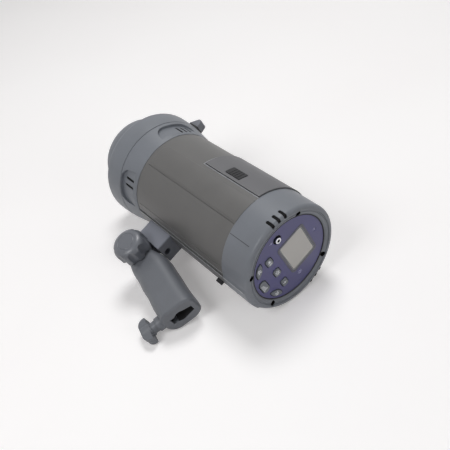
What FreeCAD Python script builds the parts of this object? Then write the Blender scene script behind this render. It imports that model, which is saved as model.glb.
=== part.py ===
import FreeCAD, Part
import math
import os

# A battery monolight strobe lying on its side, with its handle folded back along the body.
# Every piece is drawn with the strobe upright: +X forward along the optical axis, +Y to the
# operator's left, +Z up, and the origin on the optical axis at the mouth of the mount collar.
# export() then rolls each piece about X into the lying position. Millimetres throughout.

V = FreeCAD.Vector
ORIGIN = V(0, 0, 0)
AXIS_X = V(1, 0, 0)
AXIS_Y = V(0, 1, 0)
AXIS_Z = V(0, 0, 1)

# ---- driving dimensions -------------------------------------------------------------------
LIE_ANGLE = 67.6            # roll from upright to lying on the operator's right side
LENGTH = 292.5              # collar mouth to rear rim
BODY_R = 62.0               # mid shell
FLARE_RISE = 7.4            # widest ring of the front housing, above the mid shell
WALL = 2.6                  # body shells
GAP = 0.4                   # visible gap between a piece and the pocket that holds it
SLIDE_GAP = 0.3             # side clearance of a sliding piece
PIN_GAP = 0.08              # radial clearance of a turning shaft
TOUCH = 0.02                # stand-off between faces that rest on each other

SOCKET_R = 49.0             # bore that takes a modifier's bayonet tube
SOCKET_L = 10.0
FRONT_X = -30.0             # front face of the front housing
FLARE_X = -37.0
SHELL_X = -91.0             # front housing to mid shell
SEAM_X = -253.5             # mid shell to rear housing
REAR_X = -LENGTH

RIM_W = 12.6                # rear rim round the control panel
PANEL_T = 2.5
PANEL_SINK = 3.0            # panel face below the rear rim
SCREEN_W = 50.6
SCREEN_H = 39.6
SCREEN_Z = 12.1
SCREEN_CORNER = 4.4
WINDOW_W = 45.2
WINDOW_H = 34.2
WINDOW_CORNER = 2.8

PACK_X0 = -252.9            # battery pack
PACK_X1 = -163.8
PACK_PROUD = 1.5
PACK_FLOOR = 22.0
LATCH_X0 = -216.5
LATCH_X1 = -193.5
LATCH_ANGLE = 60.0
LATCH_W = 13.0
LATCH_TRAVEL = 1.5

BLOCK_X0 = -156.0           # bracket block under the body
BLOCK_X1 = -115.0
BLOCK_Y = 15.6
PIVOT_X = -134.0
PIVOT_DROP = 38.4           # pivot below the body
HEAD_R = 17.4
SHOULDER_R = 17.4           # reach of the grip's shoulder, which the block stays clear of
FORK_Y = 7.3                # half the gap between the handle's ears
UMBRELLA_R = 4.1
UMBRELLA_DROP = 14.4        # umbrella hole below the body
HANDLE_ANGLE = 74.6         # handle's swing back from straight down
HANDLE_L = 101.0            # pivot to the handle's end
HANDLE_Y = 18.6
GRIP_SHIFT = -7.5           # grip's axis from the pivot line, towards the body
STAND_R = 8.1               # bore for a 16 mm stand spigot
STAND_L = 38.0
BOLT_R = 4.0
CLAMP_S = 92.0              # clamp screw's place along the handle
LEVER_TRAVEL = 6.0
SWITCH_TRAVEL = 6.0

# ---- dependent dimensions -----------------------------------------------------------------
BODY_IN = BODY_R - WALL
FLARE_R = BODY_R + FLARE_RISE
PANEL_R = BODY_R - RIM_W
PIVOT_Z = -BODY_R - PIVOT_DROP
UMBRELLA_Z = -BODY_R - UMBRELLA_DROP
PANEL_X = REAR_X + PANEL_SINK
PANEL_BACK = PANEL_X + PANEL_T
BLOCK_Z = PIVOT_Z + max(HEAD_R, SHOULDER_R) + GAP
GRIP_X = PIVOT_X + GRIP_SHIFT
PACK_R = BODY_R + PACK_PROUD
SHAFT_HOLE = BOLT_R + PIN_GAP


# ---- drawing helpers ----------------------------------------------------------------------
def box(x0, x1, y0, y1, z0, z1):
    return Part.makeBox(x1 - x0, y1 - y0, z1 - z0, V(x0, y0, z0))


def rod(x0, x1, radius, y=0.0, z=0.0):
    """Cylinder along X."""
    return Part.makeCylinder(radius, x1 - x0, V(x0, y, z), AXIS_X)


def tube(x0, x1, r_out, r_in, y=0.0, z=0.0):
    return rod(x0, x1, r_out, y, z).cut(rod(x0, x1, r_in, y, z))


def cross_rod(y0, y1, radius, x, z):
    """Cylinder along Y."""
    return Part.makeCylinder(radius, y1 - y0, V(x, y0, z), AXIS_Y)


def post(z0, z1, radius, x, y=0.0):
    """Cylinder along Z."""
    return Part.makeCylinder(radius, z1 - z0, V(x, y, z0), AXIS_Z)


def fuse(pieces):
    return pieces[0].multiFuse(pieces[1:]).removeSplitter()


def cut(shape, tools):
    for tool in tools:
        shape = shape.cut(tool)
    return shape


def spin(edges):
    """Full turn about X of a closed outline in the XZ half-plane."""
    return Part.Face(Part.Wire(edges)).revolve(ORIGIN, AXIS_X, 360)


def lines(points):
    """Straight edges through (x, r) points."""
    corners = [V(x, 0, r) for x, r in points]
    return [Part.makeLine(a, b) for a, b in zip(corners, corners[1:])]


def lathe(points):
    """Solid of revolution from (x, r) points."""
    return spin(lines(points + points[:1]))


def curve(points):
    """Smooth edge through (x, r) points."""
    spline = Part.BSplineCurve()
    spline.interpolate([V(x, 0, r) for x, r in points])
    return spline.toShape()


def arc(start, middle, end):
    """Arc edge through three (x, r) points."""
    return Part.Arc(V(start[0], 0, start[1]), V(middle[0], 0, middle[1]), V(end[0], 0, end[1])).toShape()


def at_angle(shape, degrees):
    """Carries a piece drawn at the top of the body round towards the operator's left."""
    return shape.rotated(ORIGIN, AXIS_X, -degrees)


def both_sides(shape):
    return [shape, shape.mirror(ORIGIN, AXIS_Y)]


def round_plate(width, height, radius, x0, x1, y=0.0, z=0.0):
    """Plate across X with rounded corners: width along Y, height along Z."""
    half_w = width / 2
    half_h = height / 2
    plate = box(x0, x1, y - half_w, y + half_w, z - half_h, z + half_h)
    corners = [edge for edge in plate.Edges if abs(edge.tangentAt(edge.FirstParameter).x) > 0.9]
    return plate.makeFillet(radius, corners)


def round_pad(x0, x1, half_y, radius, z0, z1, front_only=True):
    """Pad across Z, rounded at its forward corners or at all four."""
    pad = box(x0, x1, -half_y, half_y, z0, z1)
    corners = []
    for edge in pad.Edges:
        upright = abs(edge.tangentAt(edge.FirstParameter).z) > 0.9
        forward = edge.CenterOfMass.x > (x0 + x1) / 2
        if upright and (forward or not front_only):
            corners.append(edge)
    return pad.makeFillet(radius, corners)


def export(name, shape):
    solid = shape.rotated(ORIGIN, AXIS_X, LIE_ANGLE)
    solid.exportStep("parts/" + name + ".step")
    print(name, len(solid.Solids), round(solid.Volume), solid.isValid())


# ---- front end ----------------------------------------------------------------------------
COLLAR_R = 52.2
COLLAR_BACK = -36.0
RING_X0 = -18.0
RING_X1 = -13.0
RING_R = 50.2
RING_IN = 41.0
NOTCH_R = 46.8
NOTCH_W = 24.0
LOCK_Z = 46.5
LOCK_R = 2.4
LEVER_X0 = -53.8
LEVER_X1 = -37.6
LEVER_H = 10.4               # peak above the shoe
LEVER_CHEEK = 1.4
LEVER_Y = 7.0
STEM_X0 = -50.0
STEM_X1 = -44.5
STEM_Y = 2.8
STEM_FOOT = 52.0
SHOE_TOP = FLARE_R + 2.2
CHASSIS_X0 = -72.0
CHASSIS_X1 = -69.0


def flare_radius(x):
    """Outer radius of the front housing between its rear edge and its widest ring."""
    share = (x - SHELL_X) / (FLARE_X - SHELL_X)
    return BODY_R + GAP + (FLARE_R - BODY_R - GAP) * math.sin(share * math.pi / 2)


def stem_slot():
    """Space that the release lever's stem sweeps through the wall."""
    x0 = STEM_X0 - LEVER_TRAVEL - SLIDE_GAP
    return box(x0, STEM_X1 + SLIDE_GAP, -STEM_Y - SLIDE_GAP, STEM_Y + SLIDE_GAP, STEM_FOOT, SHOE_TOP + 1)


def vent_pocket(angle, half_width, front_x):
    """Shallow pocket that takes the flare back to the body's radius around a group of vents."""
    pad = round_pad(SHELL_X - 1, front_x, half_width, 11.0, 30.0, FLARE_R + 10)
    return at_angle(pad.cut(rod(SHELL_X - 2, 0, BODY_R + 1.6)), angle)


def vent_slot(x0, x1, angle, width=3.2, depth=56.0):
    pad = round_pad(x0, x1, width / 2, width / 2 - 0.05, depth, FLARE_R + 5, False)
    return at_angle(pad, angle)


def front_housing():
    steps = 6
    flare_x = [SHELL_X + (FLARE_X - SHELL_X) * i / steps for i in range(steps + 1)]
    flare = [(x, flare_radius(x)) for x in flare_x]
    brow = (FRONT_X - 1.2, FLARE_R - 3.4)
    lip = (FRONT_X, COLLAR_R + 6)
    wall_back = FRONT_X - 3
    belly = FLARE_R - WALL - 1.2
    outline = [curve(flare), arc(flare[-1], (FRONT_X - 3.2, FLARE_R - 1.1), brow)]
    outline += lines([brow, lip, (FRONT_X, COLLAR_R + TOUCH), (wall_back, COLLAR_R + TOUCH),
                      (wall_back, BODY_IN), (wall_back - 5, belly - 2), (wall_back - 9, belly - 1),
                      (wall_back - 20, belly - 2.5), (wall_back - 26, BODY_IN), (SHELL_X, BODY_IN),
                      flare[0]])
    shell = spin(outline)
    groove_x = -62.0
    groove_r = flare_radius(groove_x)
    cuts = [tube(groove_x - 0.5, groove_x + 0.5, groove_r + 1, groove_r - 0.7), stem_slot()]
    cuts += both_sides(vent_pocket(51.0, 24.0, -67.0))
    cuts += both_sides(vent_pocket(141.5, 22.0, -63.0))
    for angle in (36.0, 41.8, 47.6):
        cuts += both_sides(vent_slot(-87.0, -72.0, angle))
    for angle in (131.0, 139.0):
        cuts += both_sides(vent_slot(-85.0, -68.5, angle))
    return cut(shell, cuts)


def mount_collar():
    """Open collar that a modifier's bayonet tube enters, with a seat for the bayonet ring."""
    mouth = (0, SOCKET_R + 1.1)
    shoulder = (-12.0, COLLAR_R)
    seat = RING_R + TOUCH
    flange_r = COLLAR_R + 4
    flange_x = FRONT_X - 3 - TOUCH
    outline = [arc(mouth, (-5.0, COLLAR_R - 0.6), shoulder)]
    outline += lines([shoulder, (flange_x, COLLAR_R), (flange_x, flange_r), (COLLAR_BACK, flange_r),
                      (COLLAR_BACK, seat), (RING_X1, seat), (RING_X1, SOCKET_R + 0.6),
                      (-SOCKET_L, SOCKET_R + 0.6), (-SOCKET_L, SOCKET_R), (0, SOCKET_R), mouth])
    return spin(outline)


def bayonet_ring():
    """Metal ring with three notches for the claws of a modifier and a hole for the lock pin."""
    ring = lathe([(RING_X0, RING_IN), (RING_X0, RING_R), (RING_X1, RING_R), (RING_X1, RING_IN + 0.8),
                  (RING_X1 - 0.8, RING_IN)])
    notch = box(RING_X0 - 1, RING_X1 + 1, -NOTCH_W / 2, NOTCH_W / 2, 0, NOTCH_R)
    limit = tube(RING_X0 - 1, RING_X1 + 1, NOTCH_R, RING_IN - 1)
    cuts = [at_angle(notch.common(limit), angle) for angle in (60, 180, 300)]
    cuts.append(rod(RING_X0 - 1, RING_X1 + 1, LOCK_R + 0.2, 0, LOCK_Z))
    return cut(ring, cuts)


PAN_X = -46.0
PAN_T = 1.0
PAN_RIM_X = -25.0
PAN_RIM_R = 43.2
SOCKET_DISC_R = 33.0
TUBE_RING_R = 22.0
TUBE_R = 3.6
TUBE_X = -35.0
TUBE_LEG_Y = 5.0
TUBE_LEG_R = 1.2
DOME_R = 31.0
DOME_T = 2.0
DOME_TIP = -14.5
DOME_BASE = PAN_X + PAN_T + TOUCH


def reflector_pan():
    """Bright dish behind the tube, with a flange that closes the collar behind the ring."""
    hub = SOCKET_DISC_R + TOUCH
    rim_back = PAN_RIM_X - PAN_T
    dish = lathe([(PAN_X, hub), (PAN_X, hub + 3), (rim_back, PAN_RIM_R), (rim_back, RING_R - SLIDE_GAP),
                  (PAN_RIM_X, RING_R - SLIDE_GAP), (PAN_RIM_X, PAN_RIM_R - 0.8), (PAN_X + PAN_T, hub + 2.3),
                  (PAN_X + PAN_T, hub)])
    return dish.cut(rod(rim_back - 1, PAN_RIM_X + 1, LOCK_R + SLIDE_GAP, 0, LOCK_Z))


def tube_socket():
    """Ceramic disc that carries the flash tube, with a stem back to the bulkhead."""
    disc = rod(PAN_X - 4, PAN_X + PAN_T, SOCKET_DISC_R)
    stem = rod(CHASSIS_X1 + TOUCH, PAN_X - 4, 14.0)
    pins = [rod(PAN_X - 9, PAN_X + PAN_T + 1, TUBE_LEG_R + PIN_GAP, y, -TUBE_RING_R)
            for y in (-TUBE_LEG_Y, TUBE_LEG_Y)]
    return cut(fuse([disc, stem]), pins)




def flash_tube():
    """Ring of glass tube with a gap at the bottom, on two legs."""
    ring = Part.makeTorus(TUBE_RING_R, TUBE_R, V(TUBE_X, 0, 0), AXIS_X)
    gap = box(TUBE_X - 5, TUBE_X + 5, -2.0, 2.0, -TUBE_RING_R - 5, -TUBE_RING_R + 5)
    legs = [rod(PAN_X - 4, TUBE_X, TUBE_LEG_R, y, -TUBE_RING_R) for y in (-TUBE_LEG_Y, TUBE_LEG_Y)]
    return fuse([ring.cut(gap)] + legs)


def modelling_lamp():
    """LED disc with a domed emitter in the middle of the ring tube."""
    base_x = DOME_BASE
    board = rod(base_x, base_x + 2.0, 13.0)
    emitter = Part.makeSphere(6.0, V(base_x + 2.0, 0, 0))
    return fuse([board, emitter.common(rod(base_x + 1.0, base_x + 9.0, 8.0))])


def glass_dome():
    """Clear cover over the tube: half an ellipse turned about the optical axis."""
    reach = DOME_TIP - DOME_BASE
    outer = Part.makeSphere(DOME_R)
    inner = Part.makeSphere(DOME_R - DOME_T)
    half = box(0, DOME_R + 1, -DOME_R - 1, DOME_R + 1, -DOME_R - 1, DOME_R + 1)
    stretch = FreeCAD.Matrix()
    stretch.scale(reach / DOME_R, 1.0, 1.0)
    shell = outer.cut(inner).common(half).transformGeometry(stretch)
    return shell.translated(V(DOME_BASE, 0, 0))


def chassis():
    """Bulkhead behind the lamp, with holes that let air through."""
    disc = rod(CHASSIS_X0, CHASSIS_X1, BODY_IN - TOUCH)
    holes = [rod(CHASSIS_X0 - 1, CHASSIS_X1 + 1, 9.0, 0, 40.0)]
    return cut(disc, [at_angle(hole, angle) for hole in holes for angle in range(30, 390, 60)])


def release_lever():
    """Thumb wedge on top of the front housing, with its stem down to the lock pin."""
    z0 = SHOE_TOP + TOUCH
    foot = V(LEVER_X0, 0, z0)
    toe = V(LEVER_X1, 0, z0)
    nose = V(LEVER_X1 - 0.6, 0, z0 + LEVER_CHEEK)
    brow = V(LEVER_X0 + 8.0, 0, z0 + LEVER_H - 0.8)
    peak = V(LEVER_X0 + 4.0, 0, z0 + LEVER_H)
    drop = V(LEVER_X0 + 1.6, 0, z0 + LEVER_H - 2.8)
    edges = [Part.makeLine(toe, nose), Part.makeLine(nose, brow), Part.Arc(brow, peak, drop).toShape(),
             Part.makeLine(drop, foot), Part.makeLine(foot, toe)]
    wedge = Part.Face(Part.Wire(edges)).extrude(V(0, 2 * LEVER_Y, 0)).translated(V(0, -LEVER_Y, 0))
    sides = [edge for edge in wedge.Edges if abs(edge.CenterOfMass.y) > LEVER_Y - 0.1
             and edge.CenterOfMass.z > z0 + LEVER_CHEEK + 0.1]
    wedge = wedge.makeFillet(1.2, sides)
    stem = box(STEM_X0, STEM_X1, -STEM_Y, STEM_Y, STEM_FOOT + TOUCH, z0 + 1)
    return fuse([wedge, stem])


def lever_shoe():
    """Black shoe under the release lever, riding just clear of the flare."""
    strip = round_pad(LEVER_X0 - 0.2, LEVER_X1 + 0.2, LEVER_Y + 0.2, 2.0, FLARE_R - 4, SHOE_TOP, False)
    over = SLIDE_GAP
    stations = [LEVER_X0 - 3 + i * (FLARE_X - LEVER_X0 + 3) / 5 for i in range(6)]
    surface = [(x, flare_radius(x) + over) for x in stations]
    under = spin([curve(surface)] + lines([surface[-1], (FRONT_X, FLARE_R + over), (FRONT_X, 0),
                                           (surface[0][0], 0), surface[0]]))
    stem = box(STEM_X0 - TOUCH, STEM_X1 + TOUCH, -STEM_Y - TOUCH, STEM_Y + TOUCH, STEM_FOOT, SHOE_TOP + 1)
    return cut(strip, [under, stem])


def lock_pin():
    """Spring-loaded pin that stops a fitted modifier from turning."""
    carrier = box(STEM_X0 - 5, STEM_X1 + 1, -5, 5, LOCK_Z - 4, STEM_FOOT)
    pin = rod(STEM_X1, -SOCKET_L - 0.7, LOCK_R, 0, LOCK_Z)
    return fuse([carrier, pin])


# ---- body ---------------------------------------------------------------------------------
RAIL_ANGLE = 16.0
RAIL_OUT = BODY_R + 1.2
SLOT_X0 = -249.0
SLOT_X1 = -227.0
SLOT_Y = 4.0
SLIDER_X0 = -246.0
SLIDER_X1 = -238.0
SLIDER_Y = 2.4
FIELD_OUT = 0.35
WELL_T = 2.0
SCREW_R = 2.0
SCREW_HEAD_R = 3.5
SCREW_Y = 9.5
BLOCK_SCREWS = [(x, y) for x in (BLOCK_X0 + 7, BLOCK_X1 - 7) for y in (-SCREW_Y, SCREW_Y)]


def pie(x0, x1, half_angle, radius):
    """Wedge about the top of the body, out to a radius."""
    reach = radius * math.tan(math.radians(half_angle))
    corners = [V(x0, 0, 0), V(x0, reach, radius), V(x0, -reach, radius), V(x0, 0, 0)]
    return Part.Face(Part.makePolygon(corners)).extrude(V(x1 - x0, 0, 0))


def rail_space(gap):
    """Sector of the body's underside that the bottom rail fills."""
    sector = at_angle(pie(SEAM_X - 1, SHELL_X + 1, RAIL_ANGLE, BODY_R + 8), 180)
    if gap == 0:
        return sector
    return fuse([sector] + [sector.rotated(ORIGIN, AXIS_X, turn) for turn in (-gap, gap)])


def label_field(angle, half_width):
    """Thin bare field raised from the mid shell beside the battery."""
    pad = round_pad(SEAM_X, SHELL_X - 6, half_width, 9.0, 40.0, BODY_R + 5)
    skin = tube(SEAM_X - 1, SHELL_X, BODY_R + FIELD_OUT, BODY_R - 0.5)
    return at_angle(pad, angle).common(skin)


def crease(angle, x0, x1):
    """Fine lengthwise groove in the body's surface."""
    return at_angle(box(x0, x1, -0.4, 0.4, BODY_R - 0.6, BODY_R + 3), angle)


def mid_shell():
    """Main tube of the body, open above the battery well and along the bottom rail."""
    shell = tube(SEAM_X, SHELL_X, BODY_R, BODY_IN)
    shell = fuse([shell] + both_sides(label_field(89.0, 14.6)))
    pack_x1 = PACK_X1 + GAP
    well = box(SEAM_X - 1, pack_x1, -BODY_R - 5, BODY_R + 5, PACK_FLOOR - GAP, BODY_R + 5)
    cuts = [well, rail_space(0.6)]
    for angle in (104.6, 152.0):
        cuts += both_sides(crease(angle, SEAM_X - 1, SHELL_X - 6))
    return cut(shell, cuts)


def switch_window(gap):
    half_y = SLOT_Y + gap
    return round_pad(SLOT_X0 - gap, SLOT_X1 + gap, half_y, 3.0, -BODY_R - 5, -BODY_IN + 5, False)


def bottom_rail():
    """Keel strip that carries the bracket block and frames the power switch."""
    ring = tube(SEAM_X + TOUCH, SHELL_X - TOUCH, RAIL_OUT, BODY_IN - 0.8)
    rail = ring.common(rail_space(0))
    holes = [post(-BODY_R - 9, -BODY_IN + 3, SCREW_R, x, y) for x, y in BLOCK_SCREWS]
    return cut(rail, [switch_window(TOUCH)] + holes)


def switch_base():
    """Black plate with the slot that the power slider runs in."""
    plate = switch_window(0).common(tube(SLOT_X0 - 1, SLOT_X1 + 1, RAIL_OUT - 1.2, BODY_IN - 2))
    run = box(SLIDER_X0 - SLIDE_GAP, SLIDER_X1 + SWITCH_TRAVEL + SLIDE_GAP,
              -SLIDER_Y - SLIDE_GAP, SLIDER_Y + SLIDE_GAP, -BODY_R - 5, -BODY_R + 8)
    return plate.cut(run)


def power_slider():
    nub = round_pad(SLIDER_X0, SLIDER_X1, SLIDER_Y, 1.0, -BODY_R - 5.2, -BODY_R + 2.0, False)
    ribs = [box(x, x + 0.7, -SLIDER_Y - 1, SLIDER_Y + 1, -BODY_R - 6, -BODY_R - 4.6) for x in
            (SLIDER_X0 + 1.6, SLIDER_X0 + 3.6, SLIDER_X0 + 5.6)]
    flange = box(SLIDER_X0 - 1.5, SLIDER_X1 + 1.5, -SLIDER_Y - 1.2, SLIDER_Y + 1.2,
                 -BODY_IN + 2 + SLIDE_GAP, -BODY_IN + 3.6)
    neck = box(SLIDER_X0, SLIDER_X1, -SLIDER_Y, SLIDER_Y, -BODY_R + 1.5, -BODY_IN + 3.0)
    return cut(fuse([nub, neck, flange]), ribs)


# ---- rear end -----------------------------------------------------------------------------
SCREW_ANGLES = ((37.5, 8.4), (-56.7, 7.5))      # above the horizontal, and how far inside the body
SCREW_PLACES = [(side * (BODY_R - inset) * math.cos(math.radians(angle)),
                 (BODY_R - inset) * math.sin(math.radians(angle)))
                for angle, inset in SCREW_ANGLES for side in (1, -1)]
RECESS_R = 3.2
REAR_WALL = REAR_X + 8.0
LEDGE = 1.2                 # width of the seat behind the panel's edge
VENT_REACH = 10.2
VENT_W = 3.5


def rear_housing():
    """End cap of the body: rounded rim, stepped ledge for the panel, side vents, screw posts."""
    rim_r = BODY_R - 0.3
    ledge_r = PANEL_R + GAP
    outline = lines([(SEAM_X - TOUCH, BODY_R), (REAR_X + 4.2, rim_r)])
    outline.append(arc((REAR_X + 4.2, rim_r), (REAR_X + 1.3, rim_r - 1.3), (REAR_X, rim_r - 4.4)))
    seat_x = PANEL_BACK + TOUCH
    outline += lines([(REAR_X, rim_r - 4.4), (REAR_X, rim_r - 5.6), (REAR_X + 1.1, rim_r - 6.0),
                      (REAR_X + 1.1, rim_r - 7.0), (REAR_X + 0.4, rim_r - 7.6),
                      (PANEL_X - 1.2, ledge_r + 1.6), (PANEL_X + 0.3, ledge_r), (seat_x, ledge_r),
                      (seat_x, PANEL_R - LEDGE), (REAR_WALL, PANEL_R - LEDGE), (REAR_WALL, BODY_IN),
                      (SEAM_X - TOUCH, BODY_IN), (SEAM_X - TOUCH, BODY_R)])
    shell = spin(outline)
    posts = [rod(REAR_WALL - 1, -262.0, 4.8, y, z) for y, z in SCREW_PLACES]
    shell = fuse([shell] + posts)
    cuts = [rod(REAR_X - 1, REAR_X + 6.5, RECESS_R, y, z) for y, z in SCREW_PLACES]
    cuts += [rod(REAR_X, -260.0, SCREW_R - 0.4, y, z) for y, z in SCREW_PLACES]
    for angle in (70.5, 78.4, 86.3):
        cuts += both_sides(vent_slot(REAR_X - 1.5, REAR_X + VENT_REACH, angle, VENT_W, BODY_R - 4.5))
    return cut(shell, cuts)


def rear_screws():
    screws = []
    for y, z in SCREW_PLACES:
        head = rod(REAR_X + 4.3, REAR_X + 6.5 - TOUCH, RECESS_R - 0.3, y, z)
        socket = rod(REAR_X + 4.0, REAR_X + 5.6, 1.2, y, z)
        shank = rod(REAR_X + 6.0, -264.0, SCREW_R - 0.4 - TOUCH, y, z)
        screws.append(fuse([head, shank]).cut(socket))
    return Part.makeCompound(screws)


CAP_GAP = 0.8
BUTTON_PROUD = 1.1
FLANGE = 1.3
BOARD_X = PANEL_BACK + 4.2
JACK_Y = PANEL_R - 12.0
JACK_R = 1.8
JACK_OUT = 3.5
JACK_PROUD = 2.2
JACK_HOLE_R = 5.4
SENSOR_Z = PANEL_R - 9.7
SENSOR_R = 2.2


def small_outline(grow, x0, x1, y, z):
    return round_plate(11.0 + 2 * grow, 8.0 + 2 * grow, 2.4 + grow, x0, x1, y, z)


def main_outline(grow, x0, x1, y, z):
    return round_plate(18.5 + 2 * grow, 9.0 + 2 * grow, 4.2 + grow, x0, x1, y, z)


def side_outline(grow, x0, x1, y, z):
    """Lens that follows the panel's edge: two arcs of the same radius."""
    radius = 13.0
    offset = 9.2
    middle = math.atan2(z, y)
    out_y = math.cos(middle)
    out_z = math.sin(middle)
    one = rod(x0, x1, radius + grow, y + offset * out_y, z + offset * out_z)
    two = rod(x0, x1, radius + grow, y - offset * out_y, z - offset * out_z)
    return one.common(two)


SMALL_Y = 22.3
SMALL_Z = -20.6
SIDE_Y = (PANEL_R - 6.7) * 0.576            # the side buttons keep to the panel's edge
SIDE_Z = -(PANEL_R - 6.7) * 0.8174
BUTTONS = {
    "button_left": (small_outline, SMALL_Y, SMALL_Z),
    "button_centre": (small_outline, 0.0, SMALL_Z),
    "button_right": (small_outline, -SMALL_Y, SMALL_Z),
    "button_side_left": (side_outline, SIDE_Y, SIDE_Z),
    "button_side_right": (side_outline, -SIDE_Y, SIDE_Z),
    "button_main": (main_outline, 0.0, -PANEL_R + 8.8),
}


def button(name):
    """Cap that comes through the panel, with a flange behind it that stops it falling out."""
    outline, y, z = BUTTONS[name]
    cap = outline(0.0, PANEL_X - BUTTON_PROUD, PANEL_BACK + 0.6, y, z)
    top = [edge for edge in cap.Edges if abs(edge.CenterOfMass.x - PANEL_X + BUTTON_PROUD) < 0.01]
    cap = cap.makeChamfer(0.45, top)
    flange = outline(FLANGE, PANEL_BACK + 0.1, PANEL_BACK + 1.6, y, z)
    return fuse([cap, flange])


def panel_plate():
    """Blue control panel, sunk below the rear rim."""
    plate = rod(PANEL_X, PANEL_BACK, PANEL_R)
    cuts = [round_plate(SCREEN_W + 2 * TOUCH, SCREEN_H + 2 * TOUCH, SCREEN_CORNER, PANEL_X - 1,
                        PANEL_BACK + 1, 0, SCREEN_Z)]
    cuts.append(rod(PANEL_X - 1, PANEL_BACK + 1, JACK_HOLE_R, JACK_Y, 0))
    cuts.append(rod(PANEL_X - 1, PANEL_BACK + 1, SENSOR_R + TOUCH, 0, SENSOR_Z))
    for outline, y, z in BUTTONS.values():
        cuts.append(outline(CAP_GAP, PANEL_X - 1, PANEL_BACK + 1, y, z))
    return cut(plate, cuts)


def lcd_module():
    """Dark display frame with a recess for its window."""
    frame = round_plate(SCREEN_W, SCREEN_H, SCREEN_CORNER, PANEL_X - 0.2, BOARD_X - TOUCH, 0, SCREEN_Z)
    recess = round_plate(WINDOW_W, WINDOW_H, WINDOW_CORNER, PANEL_X - 1, PANEL_X + 1.4, 0, SCREEN_Z)
    return frame.cut(recess)


def lcd_window():
    return round_plate(WINDOW_W - 0.1, WINDOW_H - 0.1, WINDOW_CORNER, PANEL_X + 0.3,
                       PANEL_X + 1.4 - TOUCH, 0, SCREEN_Z)


def sync_jack():
    """Metal sleeve for a 3.5 mm sync plug, its mouth just proud of the panel."""
    sleeve = rod(PANEL_X - JACK_PROUD, BOARD_X - TOUCH, JACK_OUT, JACK_Y, 0)
    rim = [edge for edge in sleeve.Edges if abs(edge.CenterOfMass.x - PANEL_X + JACK_PROUD) < 0.01]
    bore = rod(PANEL_X - JACK_PROUD - 1, BOARD_X, JACK_R, JACK_Y, 0)
    return sleeve.makeFillet(0.5, rim).cut(bore)


def jack_cup():
    """Black cup around the jack, sunk in the panel's hole."""
    return tube(PANEL_X + 1.0, BOARD_X - TOUCH, JACK_HOLE_R - TOUCH, JACK_OUT + TOUCH, JACK_Y, 0)


def optical_sensor():
    barrel = rod(PANEL_X + 0.4, BOARD_X - TOUCH, SENSOR_R, 0, SENSOR_Z)
    dome = Part.makeSphere(SENSOR_R + 0.6, V(PANEL_X + 2.2, 0, SENSOR_Z))
    return fuse([barrel, dome.common(rod(PANEL_X - 0.6, PANEL_X + 1.0, SENSOR_R, 0, SENSOR_Z))])


def panel_board():
    board = rod(BOARD_X, BOARD_X + 1.6, PANEL_R - 4.5)
    reach = rod(BOARD_X - 1, BOARD_X + 3, JACK_R + 0.4, JACK_Y, 0)
    return board.cut(reach)


# ---- battery ------------------------------------------------------------------------------
CASE_T = 2.4
CELL_R = 9.1
CELL_L = 65.0
BLADE_W = 6.0
BLADE_H = 8.0
CONTACT_PLACES = (-14.0, 0.0, 14.0)
LATCH_DEEP = 4.5


def latch_block(grow, outer_r, inner_r):
    half = LATCH_W / 2 + grow
    return round_pad(LATCH_X0 - grow, LATCH_X1 + grow, half, 1.5, inner_r, outer_r, False)


def battery_case():
    """Hollow pack that closes the top of the body, with a pocket for each latch."""
    segment = rod(PACK_X0, PACK_X1, PACK_R).common(
        box(PACK_X0, PACK_X1, -PACK_R, PACK_R, PACK_FLOOR, PACK_R))
    inside = rod(PACK_X0 + CASE_T, PACK_X1 - CASE_T, PACK_R - CASE_T).common(
        box(PACK_X0, PACK_X1, -PACK_R + 7, PACK_R - 7, PACK_FLOOR + CASE_T, PACK_R))
    pocket = latch_block(SLIDE_GAP, PACK_R + 3, PACK_R - LATCH_DEEP - LATCH_TRAVEL - SLIDE_GAP)
    lining = latch_block(CASE_T, PACK_R - 0.5, PACK_R - LATCH_DEEP - LATCH_TRAVEL - CASE_T)
    linings = both_sides(at_angle(lining, LATCH_ANGLE))
    shell = fuse([segment.cut(inside)] + [piece.common(segment) for piece in linings])
    return cut(shell, both_sides(at_angle(pocket, LATCH_ANGLE)))


def battery_latch():
    """Ribbed push button in the pack's side."""
    outer = rod(LATCH_X0 - 1, LATCH_X1 + 1, PACK_R + 0.5)
    body = latch_block(0.0, PACK_R + 3, PACK_R - LATCH_DEEP).common(outer)
    ribs = [box(x, x + 0.8, -LATCH_W, LATCH_W, PACK_R - 0.2, PACK_R + 2) for x in
            (LATCH_X0 + 4, LATCH_X0 + 8, LATCH_X0 + 12, LATCH_X0 + 16)]
    return at_angle(cut(body, ribs), LATCH_ANGLE)


def battery_cells():
    """Round cells lying lengthwise in two rows."""
    x0 = (PACK_X0 + PACK_X1 - CELL_L) / 2
    low_z = PACK_FLOOR + CASE_T + CELL_R + TOUCH
    pitch = 2 * CELL_R + TOUCH
    low = [rod(x0, x0 + CELL_L, CELL_R, i * pitch, low_z) for i in (-1.5, -0.5, 0.5, 1.5)]
    high_z = low_z + pitch * math.sin(math.radians(60)) + TOUCH
    high = [rod(x0, x0 + CELL_L, CELL_R, i * pitch, high_z) for i in (0,)]
    return Part.makeCompound(low + high)


def battery_terminals():
    """Contact blades set in the pack's front wall."""
    x1 = PACK_X1 - CASE_T - TOUCH
    low = PACK_FLOOR + 4
    blades = [box(x1 - 2, x1, y - BLADE_W / 2, y + BLADE_W / 2, low, low + BLADE_H)
              for y in CONTACT_PLACES]
    return Part.makeCompound(blades)


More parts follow.
